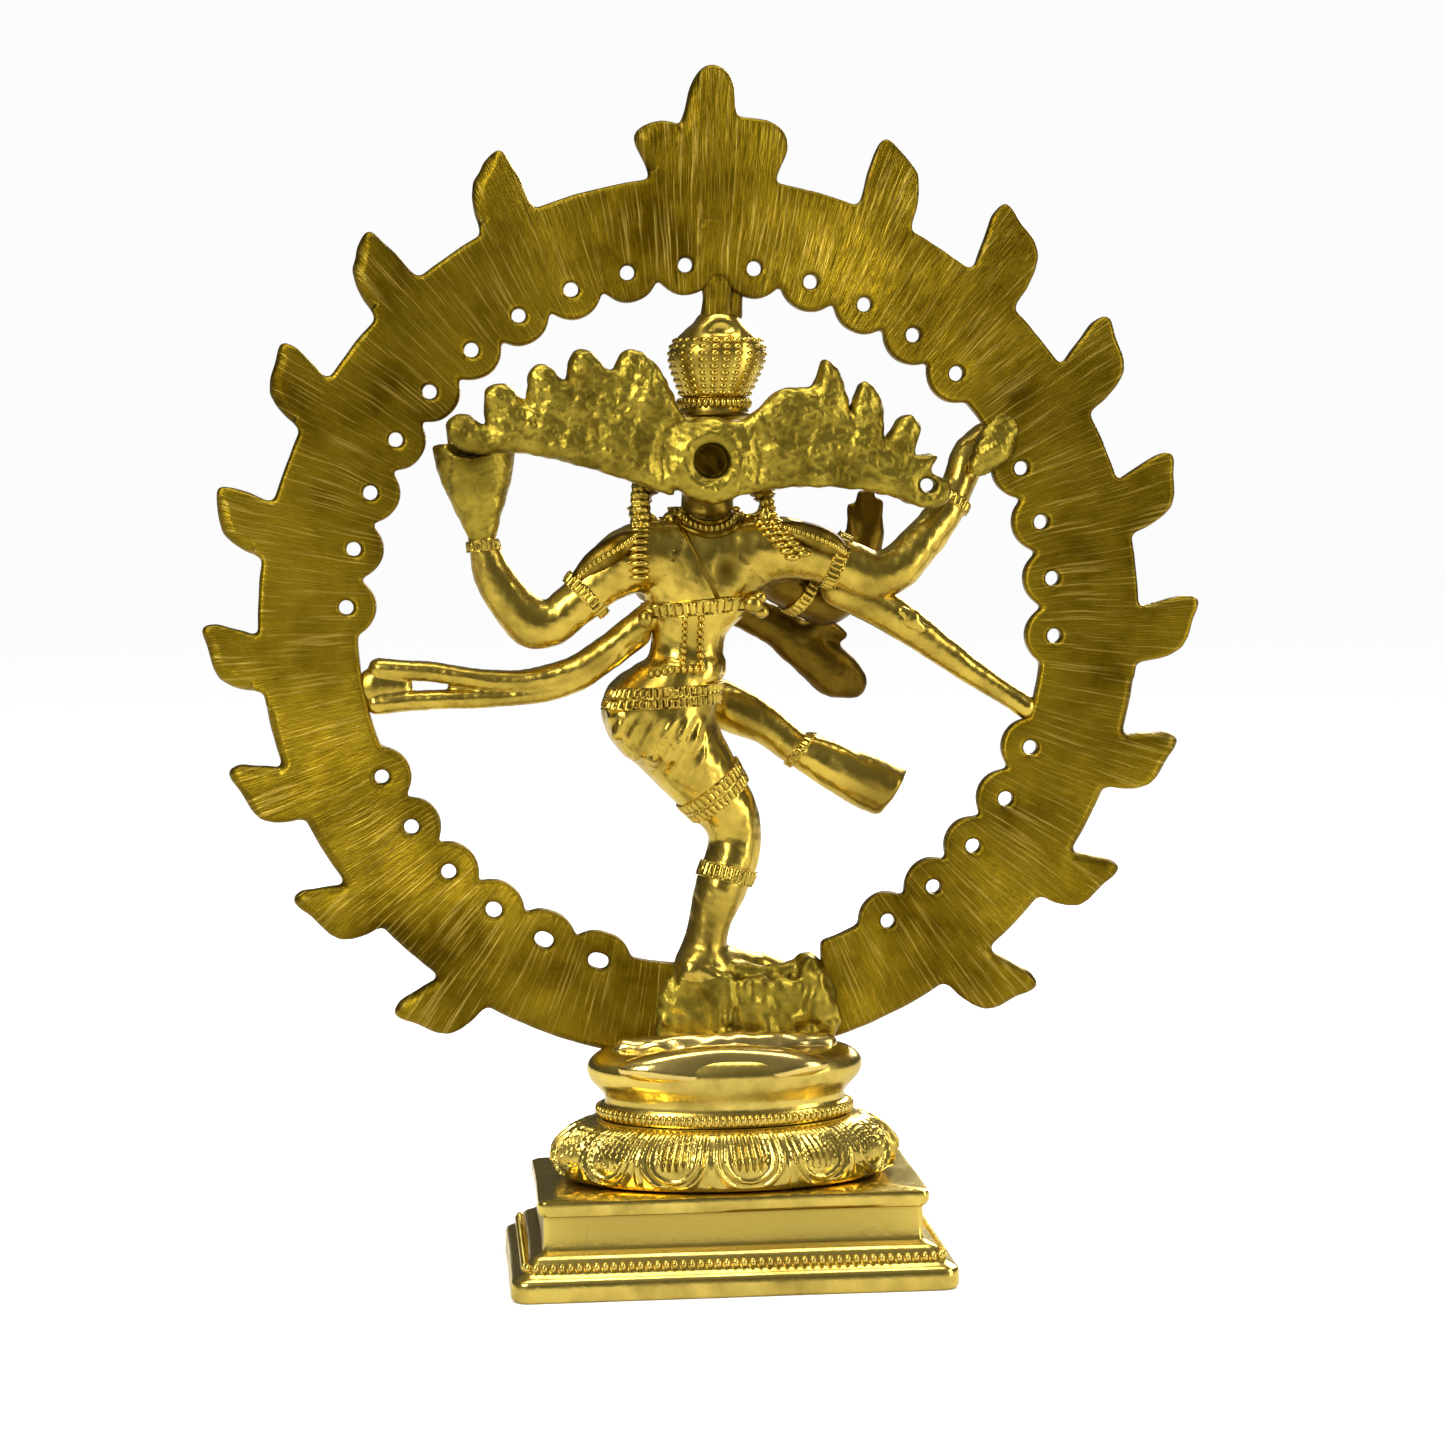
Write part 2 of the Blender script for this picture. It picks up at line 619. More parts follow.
def flame_arch():
    clay = Clay(ARCH_LO - 1.0, ARCH_HI + 1.0, 0.36)
    outline = outline_of("flame_arch")
    flat = blurred(flat_distance(outline, clay.axes[0], clay.axes[2]), 3)
    x, y, z = clay.grid()
    edge = flat[:, None, :]
    turn, radius = arch_turn(x, z)
    middle, half = (ARCH_LO[1] + ARCH_HI[1]) / 2, (ARCH_HI[1] - ARCH_LO[1]) / 2

    # The filed back: slightly uneven, dressed back along the flames' edges.
    wave = 0.16 * ripple(x, 0, z, 13.0, 3) + 0.05 * ripple(x, 0, z, 3.2, 4)
    back = (y - middle) - half + 0.12 + np.abs(wave)
    upper = (turn > 90) & (turn < 196) & (radius > 75.5)
    slope_x = np.gradient(flat, clay.step, axis=0)[:, None, :]
    slope_z = np.gradient(flat, clay.step, axis=1)[:, None, :]
    crestward = slope_x * (ARCH_Z - z) / radius + slope_z * (x - ARCH_X) / radius
    crestward = np.where((turn > 90) & (turn < 270), -crestward, crestward)
    facet = np.clip(1.9 + edge, 0, 3) * 0.55 * np.clip(crestward * 2, 0, 1) * upper
    lower = (turn > 190) & (turn < 352) & (radius > 72.4)
    facet = facet + np.clip(1.3 + edge, 0, 3) * 0.55 * lower * np.clip(1.2 - 2 * crestward, 0, 1)
    back = back + facet + 0.35 * np.clip(0.7 + edge, 0, 1)
    rivet = np.exp(-(((x - 0.4) / 2.6) ** 2 + ((z - 175.0) / 2.0) ** 2))
    back = back - 0.28 * rivet * (1 + ripple(x, 0, z, 0.9, 6))

    # The cast front: a cord along each rim, a ring round each hole, veins in each flame.
    relief = np.zeros_like(radius)
    for line in (64.4, 71.4):
        relief = relief + 0.55 * np.exp(-((radius - line) / 0.6) ** 2)
    relief = relief + 0.30 * (0.5 + 0.5 * np.cos(np.radians(turn) * 150)) * np.exp(-((radius - 67.9) / 1.9) ** 2)
    for hole in small_holes(outline):
        away = np.hypot(x - hole[0], z - hole[1])
        relief = relief + 0.5 * np.exp(-((away - 2.2) / 0.5) ** 2)
    veins = np.clip((radius - 74.5) / 2.0, 0, 1) * 0.4 * np.cos(np.radians(turn) * 170 + radius * 0.5)
    front = -(y - middle) - half + 0.75 - np.where(edge < -0.6, relief, 0) - np.where(edge < -0.8, veins, 0)
    clay.field[:] = soft_max(soft_max(edge + 0.05 * ripple(x, y, z, 2.0, 5), back, 0.6), front, 0.8)
    arch = clay.piece("cast_flame_arch", FILED, 40)
    thin_out(arch, 0.5)
    return settle(arch, "filed_brass", "flame_arch")


flame_arch()

# ------------------------------------------------------------------ plinth, lotus, seat


def loft_faces(rings, count):
    """The faces of a loft through rings of count points each, closed at both ends."""
    faces = []
    for low in range(0, (rings - 1) * count, count):
        for s in range(count):
            n = (s + 1) % count
            faces.append([low + s, low + n, low + count + n, low + count + s])
    last = (rings - 1) * count
    return faces + [list(range(count))[::-1], list(range(last, last + count))]


def oval_loft(levels, share, count=120):
    """Points and faces of an upright loft of ovals (height, half width)."""
    turn = np.arange(count) * 2 * math.pi / count
    verts = np.concatenate([np.stack([w * np.cos(turn), w * share * np.sin(turn), np.full(count, h)], 1)
                            for h, w in levels])
    return verts, loft_faces(len(levels), count)


def rounded_rectangle(half_w, half_d, corner, z, per_corner=7, per_side=14):
    points = []
    for quarter, (sx, sy) in enumerate(((1, 1), (-1, 1), (-1, -1), (1, -1))):
        cx, cy = sx * (half_w - corner), sy * (half_d - corner)
        for a in np.linspace(quarter * 90, quarter * 90 + 90, per_corner):
            points.append((cx + corner * math.cos(math.radians(a)), cy + corner * math.sin(math.radians(a)), z))
        nx, ny = ((-1, 1), (-1, -1), (1, -1), (1, 1))[quarter]
        ex, ey = nx * (half_w - corner), ny * (half_d - corner)
        end = ((ex, ny * half_d), (nx * half_w, ey), (ex, ny * half_d), (nx * half_w, ey))[quarter]
        start = points[-1]
        for t in np.arange(1, per_side) / per_side:
            points.append((start[0] + (end[0] - start[0]) * t, start[1] + (end[1] - start[1]) * t, z))
    return points


FOOT_W, FOOT_D, PLINTH_H = mm_box("plinth")[1]
STEP_SHARE = 0.84  # how far a step goes in front and behind, beside how far at the ends


def plinth():
    """The stepped plinth with its cast hollow, as one loft from the cap down and up inside."""
    outside = [
        (22.0, PLINTH_H, 0.5), (5.2, PLINTH_H, 1.2), (4.6, PLINTH_H - 0.25, 1.4), (4.4, PLINTH_H - 0.9, 1.5),
        (4.5, PLINTH_H - 1.9, 1.5), (4.9, 13.35, 1.4), (5.4, 13.1, 1.2), (5.5, 12.6, 1.1), (5.5, 8.4, 1.1),
        (5.3, 7.6, 1.2), (4.4, 7.1, 1.3), (3.6, 6.8, 1.4), (3.2, 6.3, 1.6), (2.5, 5.3, 1.9), (2.0, 4.6, 2.1),
        (1.6, 4.2, 2.2), (0.9, 3.9, 2.4), (0.3, 3.55, 2.6), (0.02, 3.0, 2.8), (0.02, 0.7, 2.8), (0.35, 0.15, 2.6),
        (0.8, 0.0, 2.4), (3.0, 0.0, 1.4), (3.3, 0.3, 1.2), (3.4, 3.2, 1.2), (8.6, 3.6, 1.0), (8.8, 12.8, 1.0),
        (18.0, 13.2, 0.5),
    ]
    verts = []
    for inset, z, corner in outside:
        verts += rounded_rectangle(FOOT_W - inset, FOOT_D - inset * STEP_SHARE, corner, z)
    count = len(verts) // len(outside)
    verts = np.array(verts)
    wave = ripple(verts[:, 0], verts[:, 1], verts[:, 2], 14.0, 8)
    dent = np.where(verts[:, 2] > 0.1, 0.16, 0.0) * np.minimum(wave - 0.6, 0)
    verts[:, 0] += np.sign(verts[:, 0]) * dent * (np.abs(verts[:, 0]) > 8)
    verts[:, 1] += np.sign(verts[:, 1]) * dent * (np.abs(verts[:, 1]) > 5)
    faces = [face[::-1] for face in loft_faces(len(outside), count)]
    body = mesh_piece("cast_plinth", verts, faces, BASE, 35)
    settle(body, "polished_brass", "plinth")
    row = Ornament()
    path = np.array(rounded_rectangle(FOOT_W - 2.3, FOOT_D - 2.3 * STEP_SHARE, 2.0, 5.35))
    row.string(path, 1.42, (0.62, 0.62, 0.85))
    settle(row.piece("cast_plinth_beads", BASE), "polished_brass")


plinth()


def lotus_pedestal():
    levels = [(16.0, 27.6), (18.0, 29.0), (20.3, 29.5), (22.6, 28.4), (24.8, 25.8), (26.4, 22.4)]
    share, petals = 0.575, 14
    clay = Clay((-31, -18.5, 15.0), (31, 18.5, 27.2), 0.28)
    clay.join(stack([(0, 0, h, w - 0.35, (w - 0.35) * share) for h, w in levels]))

    def carving(x, y, z):
        turn = np.arctan2(y / share, x) + math.pi / petals - 0.09
        pitch = 2 * math.pi / petals
        across = (((turn - math.pi / 2) / pitch) % 1.0 - 0.5) * 2
        up = (z - 16.6) / 9.4
        reach = np.hypot(across * 1.02, np.clip(0.62 - up, 0, 1) * 1.45)
        ridges = 0.62 * np.exp(-((reach - 0.88) / 0.055) ** 2) + 0.46 * np.exp(-((reach - 0.66) / 0.05) ** 2)
        field = 0.40 * np.clip(1 - reach / 0.56, 0, 1) ** 0.5
        strokes = 0.34 * np.sin(across * 34 + up * 4) * (reach < 0.5) * (up > 0.35)
        between = 0.35 * np.clip(1 - np.abs(np.abs(across) - 1) / 0.10, 0, 1)
        band = np.clip((up - 0.02) / 0.08, 0, 1) * np.clip((1.0 - up) / 0.06, 0, 1)
        return (ridges + field + strokes + between) * band - 0.25

    clay.emboss((-31, -18.5, 15), (31, 18.5, 27.2), carving)
    settle(clay.piece("cast_lotus_pedestal", BASE), "polished_brass", "lotus_pedestal")

    row = Ornament()
    base, faces = oval_loft([(26.3, 20.9), (26.8, 21.3), (28.2, 21.3), (28.7, 20.8)], 0.585)
    row.add(base, faces)
    turn = np.arange(720) * math.pi / 360
    path = np.stack([21.35 * np.cos(turn), 21.35 * 0.585 * np.sin(turn), np.full(720, 27.5)], 1)
    row.string(path, 1.12, (0.52, 0.52, 0.98))
    settle(row.piece("cast_pedestal_beads", BASE), "polished_brass", "pedestal_bead_ring")


lotus_pedestal()


def seat():
    levels = [(28.5, 20.5), (29.3, 20.3), (30.2, 20.5), (31.4, 21.5), (32.6, 22.6), (33.8, 23.15), (35.0, 23.2),
              (36.1, 22.6), (37.0, 21.5), (37.5, 20.2), (37.75, 18.0), (37.8, 12.0)]
    rows = smooth_rows(levels, 3)
    verts, faces = oval_loft([tuple(r) for r in rows], 0.58, 144)
    lumps = ripple(verts[:, 0], verts[:, 1], verts[:, 2], 7.0, 11)
    verts[:, :2] *= 1 - 0.006 * (lumps[:, None] + 0.8)
    settle(mesh_piece("cast_seat", verts, faces, BASE, 60), "polished_brass", "seat")

    clay = Clay((-21, -5, 31.0), (21.5, 15.5, 42.0), 0.28)
    clay.join(egg((0.9, 8.9, 36.0), (17.6, 4.9, 3.5)))
    clay.carve((np.array((-21.0, 8, 31)), np.array((22.0, 16, 42)),
                lambda x, y, z: 12.9 - y - 0.42 * (z - 35.5) + 0.05 * ripple(x, y, z, 5.0, 23)), 0.7)
    clay.join(limb([(17, 1.0, 37.6, 2.0), (6, 2.4, 38.2, 2.4), (-6, 2.4, 38.2, 2.4), (-17, 1.0, 37.6, 2.1)]), 1.5)
    clay.emboss((-21, -5, 31), (21.5, 15.5, 42.0),
                lambda x, y, z: 0.07 * ripple(x * 0.5, y, z, 2.6, 21) + 0.12 * ripple(x, y, z, 1.4,
                                                                                      24) * (y < 5.0) - 0.1)
    settle(clay.piece("brazing_bar", BRIGHT), "braze_metal", "braze_bar")


seat()

# ------------------------------------------------------------------ the figure, as one body of clay

BODY_Y = -6.0
FOOT_CUT = ((-31.2, -14.5, 78.6), (-0.83, 0.05, -0.56))
FIGURE = {
    "torso": [stack([
        (6.0, BODY_Y, 100.0, 7.0, 5.6), (5.2, BODY_Y, 104.2, 6.2, 5.0), (4.7, BODY_Y, 107.0, 6.6, 5.1),
        (3.2, BODY_Y, 111.0, 8.7, 6.0), (2.1, BODY_Y, 115.5, 10.3, 6.8), (1.8, BODY_Y, 119.6, 11.2, 6.6),
        (1.7, BODY_Y, 123.0, 9.8, 5.6), (1.5, BODY_Y, 125.8, 5.2, 4.4)])],
    "waist_cloth": [stack([
        (9.4, BODY_Y, 86.4, 6.6, 5.8), (9.4, BODY_Y, 89.0, 8.6, 6.9), (9.6, BODY_Y, 91.8, 9.1, 7.5),
        (9.5, BODY_Y, 95.0, 9.3, 7.5), (8.5, BODY_Y, 98.4, 8.6, 7.0), (6.3, BODY_Y, 102.0, 7.2, 6.0)]),
        limb([(16.6, -3.0, 93.0, 2.2), (16.8, -2.4, 90.6, 1.6)])],
    "standing_leg": [
        limb([(8.6, -6.4, 90.0, 7.4), (5.4, -7.0, 86.2, 6.9), (1.8, -7.8, 81.4, 6.1), (-1.7, -8.5, 76.4, 5.1),
              (-2.9, -8.5, 72.2, 4.5), (-2.0, -8.0, 67.6, 4.5), (-0.1, -7.2, 63.0, 4.3), (1.8, -6.6, 57.6, 3.6),
              (2.8, -6.4, 53.0, 3.9), (3.0, -6.2, 50.0, 5.0)]),
        limb([(4.8, -3.8, 50.6, 2.8), (1.4, -6.4, 51.4, 3.2), (-3.4, -8.6, 50.4, 2.8), (-9.8, -11.4, 49.2, 2.0)],
             (0, 0, 1), 0.85)],
    "raised_leg": [
        limb([(12.4, -9.0, 94.0, 7.0), (9.8, -15.0, 95.6, 6.0), (5.6, -20.4, 96.4, 4.7)]),
        cut_beyond(limb([(5.6, -19.9, 96.0, 4.6), (-2.6, -18.4, 93.4, 4.2), (-9.0, -16.8, 90.4, 3.5),
                         (-14.2, -15.8, 86.3, 2.9),
                         (-18.0, -15.2, 84.6, 3.7), (-24.6, -14.6, 81.2, 4.5), (-33.0, -14.3, 77.4, 5.0)],
                        (0, 1, 0), 0.86), *FOOT_CUT)],
    "rear_left_arm": [limb([
        (7.6, -5.0, 120.6, 5.6), (13.6, -4.4, 119.8, 5.7), (18.6, -4.0, 117.0, 4.7), (23.2, -3.8, 112.6, 3.9),
        (27.8, -3.8, 109.0, 3.8), (31.4, -3.8, 109.2, 4.2), (34.8, -3.8, 113.0, 3.7), (37.8, -3.8, 117.6, 3.0),
        (39.1, -3.8, 122.0, 2.4), (39.3, -3.8, 124.4, 2.3)], (0, 1, 0), 0.85)],
    "rear_right_arm": [limb([
        (-4.6, -5.0, 120.8, 5.6), (-10.8, -4.4, 121.0, 5.3), (-16.4, -4.0, 120.0, 4.6), (-21.4, -3.8, 118.0, 4.3),
        (-26.0, -3.8, 116.2, 4.2), (-30.2, -4.0, 117.6, 3.9), (-34.2, -4.6, 121.4, 3.5),
        (-38.2, -5.6, 126.2, 3.2),
        (-41.2, -6.8, 131.4, 2.9), (-43.2, -8.0, 136.2, 3.0), (-46.0, -9.8, 139.2, 2.5)], (0, 1, 0), 0.9)],
    "front_left_arm": [
        limb([(10.6, -9.0, 119.2, 4.6), (9.8, -13.2, 115.6, 4.1), (4.0, -16.6, 112.8, 3.7),
              (-4.0, -18.0, 110.6, 3.3),
              (-10.6, -18.2, 107.6, 3.3), (-15.4, -18.2, 104.0, 3.9), (-20.8, -18.1, 99.6, 4.3),
              (-24.2, -18.0, 97.3, 3.0)],
             (0, 1, 0), 0.6),
        limb([(-16.0, -17.6, 106.0, 1.6), (-20.0, -17.8, 107.0, 1.5), (-22.8, -17.8, 105.6, 1.1)])],
    "front_right_arm": [
        limb([(-6.6, -8.6, 119.2, 4.6), (-13.2, -11.0, 114.6, 4.2), (-18.6, -13.0, 111.2, 3.7),
              (-22.4, -14.8, 112.6, 3.3),
              (-25.0, -16.2, 116.6, 2.6)]),
        limb([(-25.2, -16.3, 116.4, 2.5), (-26.2, -16.7, 119.6, 3.2), (-26.8, -16.7, 123.0, 3.2)], (0, 1, 0),
             0.55),
        limb([(-28.6, -16.7, 122.6, 1.0), (-29.2, -16.6, 128.2, 0.8)]),
        limb([(-27.2, -16.7, 123.0, 1.0), (-27.5, -16.5, 130.2, 0.8)]),
        limb([(-25.8, -16.7, 123.0, 1.0), (-25.8, -16.5, 129.8, 0.8)]),
        limb([(-24.4, -16.7, 122.0, 1.0), (-24.2, -16.6, 127.6, 0.8)]),
        limb([(-24.0, -16.7, 118.6, 1.2), (-22.4, -17.2, 122.6, 0.9)])],
    "head": [
        egg((1.0, -7.6, 137.4), (5.7, 6.1, 6.2)), egg((1.0, -8.6, 133.2), (4.6, 4.9, 4.9)),
        stack([(1.5, -6.2, 124.4, 4.6, 4.1), (1.4, -6.6, 128.0, 4.3, 3.9), (1.2, -7.0, 131.0, 4.5, 4.4)]),
        limb([(1.0, -13.2, 137.6, 0.6), (1.0, -13.9, 135.4, 0.75)]), egg((1.0, -13.7, 134.5), (1.2, 0.8, 0.7)),
        egg((1.0, -13.0, 132.5), (1.7, 0.7, 0.45)), egg((1.0, -12.9, 131.7), (1.4, 0.7, 0.45)),
        egg((1.0, -12.2, 129.6), (1.6, 1.1, 1.0)),
        egg((-1.4, -12.9, 136.3), (1.35, 0.55, 0.55)), egg((3.4, -12.9, 136.3), (1.35, 0.55, 0.55)),
        limb([(-3.2, -12.0, 137.7, 0.32), (-1.6, -13.1, 138.2, 0.36), (-0.2, -13.4, 137.8, 0.32)]),
        limb([(5.2, -12.0, 137.7, 0.32), (3.6, -13.1, 138.2, 0.36), (2.2, -13.4, 137.8, 0.32)]),
        egg((-5.0, -7.2, 135.2), (0.8, 1.4, 2.9)), egg((7.0, -7.2, 135.2), (0.8, 1.4, 2.9))],
    "dwarf": [
        limb([(6.6, -7.0, 43.4, 4.4), (0, -6.6, 43.8, 5.3), (-7.0, -6.8, 43.6, 5.6), (-13.6, -8.2, 43.8, 4.7)],
             (0, 1, 0), 0.92),
        egg((-18.0, -11.6, 44.8), (4.1, 3.9, 4.7)), limb([(-12.0, -9.4, 44.0, 3.0), (-17.0, -11.2, 44.4, 2.8)]),
        limb([(5.0, -9.0, 42.6, 3.7), (12.4, -11.0, 43.2, 2.9)]),
        limb([(12.4, -11.0, 43.2, 2.7), (16.0, -8.8, 39.9, 2.1)]),
        limb([(-10.6, -11.2, 45.2, 2.3), (-6.6, -13.0, 41.2, 1.9)]),
        limb([(-6.6, -13.0, 41.0, 1.8), (-12.6, -13.6, 39.8, 1.5)]),
        stack([(-3.6, -4.4, 37.4, 14.0, 3.2), (-3.6, -4.4, 43.0, 13.6, 3.1), (-3.8, -4.4, 48.6, 12.6, 2.8)], 7.0),
        limb([(-17.0, -4.2, 40.4, 3.0), (-17.2, -4.4, 46.0, 2.6), (-14.6, -4.6, 50.6, 2.1)]),
        limb([(8.8, -4.4, 40.4, 2.6), (8.2, -4.6, 46.6, 2.3)]),
        limb([(-15.2, -2.4, 42.6, 2.1), (-15.8, -2.2, 47.0, 1.9), (-14.8, -2.8, 50.2, 1.6)]),
        limb([(1.9, -1.9, 48.0, 0.9), (1.9, -1.7, 39.0, 1.0)]),
        limb([(-0.8, -1.7, 48.4, 1.1), (-0.8, -1.4, 39.0, 1.2)]),
        limb([(-3.8, -1.9, 48.2, 0.8), (-3.8, -1.7, 39.0, 0.9)]),
        limb([(-6.8, -2.2, 48.0, 1.0), (-7.4, -1.8, 39.0, 1.4)]),
        limb([(7.6, -4.6, 49.4, 1.2), (0, -4.2, 50.0, 1.3), (-8.0, -4.2, 49.6, 1.1), (-12.0, -4.4, 50.0, 1.2)])],
}
SLOTS = {"dwarf": ("rough_cast_brass", ROUGH), "front_left_arm": ("polished_brass", DULL),
         "front_right_arm": ("polished_brass", DULL)}
ORDER = list(FIGURE)
OVERLAP = 0.5


def carve_figure(body):
    """Hollows, folds and the marks of the chaser's tools on the body."""
    lo, hi = body.lo, body.lo + body.step * np.array(body.field.shape)
    body.emboss(lo, hi, lambda x, y, z: 0.11 * ripple(x, y, z, 3.0, 31) + 0.05 * ripple(x, y, z, 1.0, 32, 12))
    # The hollow between the shoulder blades, the groove of the back and the struck thread lines.
    body.carve(egg((-1.1, 2.2, 117.8), (2.6, 1.9, 3.8)), 1.6)
    body.carve(limb([(3.9, 1.4, 109.6, 0.75), (4.6, 1.3, 103.0, 0.75)]), 0.8)
    body.carve(limb([(7.4, 0.5, 121.4, 0.35), (5.7, 0.8, 117.2, 0.45)]), 0.2)
    body.carve(limb([(3.6, 1.0, 120.0, 0.35), (0.9, 0.9, 113.8, 0.45)]), 0.2)
    body.carve(limb([(4.5, 1.0, 119.8, 0.3), (1.8, 0.9, 113.6, 0.35)]), 0.2)
    # Folds of the cloth under the hip.
    body.emboss((3.0, -3.0, 82.0), (19.5, 3.4, 94.0),
                lambda x, y, z: 0.20 * np.sin(2.3 * x + 1.1 * z) * np.clip((93.5 - z) / 1.5, 0,
                                                                           1) * np.clip((z - 82.5) / 1.5, 0, 1))
    # Pits in the cut end of the raised foot.
    body.carve(egg((-32.9, -13.4, 80.2), (1.3, 1.0, 1.2)), 0.4)
    body.carve(egg((-31.2, -13.6, 77.0), (1.3, 1.1, 1.0)), 0.4)
    # The dwarf's hair and ledge: cross cuts on its ribs, curls on the lump beside it.
    for k in range(9):
        z = 39.6 + 1.05 * k
        body.carve(limb([(2.6, -0.4, z, 0.28), (-4.6, -0.2, z + 0.2, 0.28)]), 0.2)
    body.emboss((-20, -8, 36.5), (-11.5, 2, 54),
                lambda x, y, z: 0.24 * ripple(x, y, z, 1.1, 33) * np.clip((y + 6) / 2, 0, 1))
    body.emboss((-19, -8, 36.5), (11, 2, 51), lambda x, y, z: 0.10 * ripple(x, y, z, 1.3, 34))


def softened(field, passes):
    """Evens out a block of distances, which rounds its creases."""
    for _ in range(passes):
        for axis in range(3):
            inner, low, high = [slice(None)] * 3, [slice(None)] * 3, [slice(None)] * 3
            inner[axis], low[axis], high[axis] = slice(1, -1), slice(0, -2), slice(2, None)
            even = field.copy()
            even[tuple(inner)] = 0.5 * field[tuple(inner)] + 0.25 * (field[tuple(low)] + field[tuple(high)])
            field = even
    return field


def figure():
    body = Clay((-50, -25.5, 36.5), (47, 3.5, 145.5), 0.32)
    second = body.field.copy()
    owner = np.full(body.field.shape, -1, np.int8)
    own = {}
    blend = np.full(body.field.shape, FAR, np.float32)
    for index, name in enumerate(ORDER):
        shapes = FIGURE[name]
        cut, at = body.window(*extent(shapes, 3.0))
        d = None
        for shape in shapes:
            d = shape[2](*at) if d is None else soft_min(d, shape[2](*at), 0.9)
        own[name] = (cut, d)
        first = body.field[cut]
        second[cut] = np.minimum(second[cut], np.maximum(first, d))
        owner[cut] = np.where(d < first, index, owner[cut])
        body.field[cut] = np.minimum(first, d)
        blend[cut] = soft_min(blend[cut], d, 1.8)
    nearest = body.field.copy()
    body.field[:] = softened(blend, 3)
    carve_figure(body)
    for index, name in enumerate(ORDER):
        cut, d = own[name]
        others = np.where(owner[cut] == index, second[cut], nearest[cut])
        territory = (d - others - OVERLAP) * 0.5
        part = np.maximum(body.field[cut], territory)
        lo = [body.axes[i][cut[i].start] for i in range(3)]
        verts, quads = skin(part, np.array(lo), body.step)
        slot, material = SLOTS.get(name, ("polished_brass", POLISHED))
        settle(mesh_piece("cast_" + name, verts, quads, material, 55), slot, name)
    return body


BODY = figure()


def back_of(x, z):
    """The Y of the figure's rear surface behind a point of the XZ plane."""
    i = int(round((x - BODY.lo[0]) / BODY.step))
    k = int(round((z - BODY.lo[2]) / BODY.step))
    column = BODY.field[i, :, k]
    solid = np.nonzero(column < 0)[0]
    if not len(solid):
        return BODY_Y
    j = solid[-1]
    return BODY.axes[1][j] + BODY.step * column[j] / (column[j] - column[j + 1])


# ------------------------------------------------------------------ ornament cast on the figure


def body_distance(nodes, k=1.6):
    def distance(x, y, z):
        total = None
        for node in nodes:
            for shape in FIGURE[node]:
                d = shape[2](x, y, z)
                total = d if total is None else soft_min(total, d, k)
        return total
    return distance


def hug(node, on, centre, axis, width, lift, around, rows, reach, pitch):
    """A ribbed band with corded edges that hugs the limb it is cast on."""
    a = np.array(axis, float) / np.linalg.norm(axis)
    u = np.cross(a, (0, 0, 1) if abs(a[2]) < 0.9 else (0, 1, 0))
    u /= np.linalg.norm(u)
    v = np.cross(a, u)
    centre = np.array(centre, float)
    clay = Clay(centre - reach - 0.5, centre + reach + 0.5, 0.2)
    cut, (x, y, z) = clay.window(clay.lo, centre + reach + 0.5)
    x, y, z = x - centre[0], y - centre[1], z - centre[2]
    along = x * a[0] + y * a[1] + z * a[2]
    pu, pv = x * u[0] + y * u[1] + z * u[2], x * v[0] + y * v[1] + z * v[2]
    d = body_distance(on.split())(x + centre[0], y + centre[1], z + centre[2])
    count = max(int(round(2 * math.pi * around / pitch)), 8)
    ribs = np.abs(np.cos(np.arctan2(pv, pu) * count / 2)) ** 0.7
    lane = np.abs(((along / width + 0.5) * rows) % 1.0 - 0.5) * 2
    cord = np.exp(-((lane - 0.93) / 0.16) ** 2)
    profile = lift * (0.25 + 0.75 * np.maximum(cord, 0.95 * ribs * (lane < 0.72)))
    shell = np.maximum(d - profile, -(d + 0.7))
    clay.field[cut] = np.maximum(np.maximum(shell, np.abs(along) - width / 2), np.hypot(pu, pv) - reach)
    return settle(clay.piece("cast_" + node, POLISHED, 50), "polished_brass", node)


def on_back(path, out=0.0):
    """Points of the figure's back under a path of (x, z)."""
    path = smooth_rows(path, 6)
    return np.array([(x, back_of(x, z) + out, z) for x, z in path])


def tassel(name, path, radii, pitch):
    """A column of flattened beads that lies on the back of the figure."""
    row = Ornament()
    row.string(on_back(path, 0.15), pitch, radii, closed=False)
    settle(row.piece("cast_" + name, POLISHED), "polished_brass")


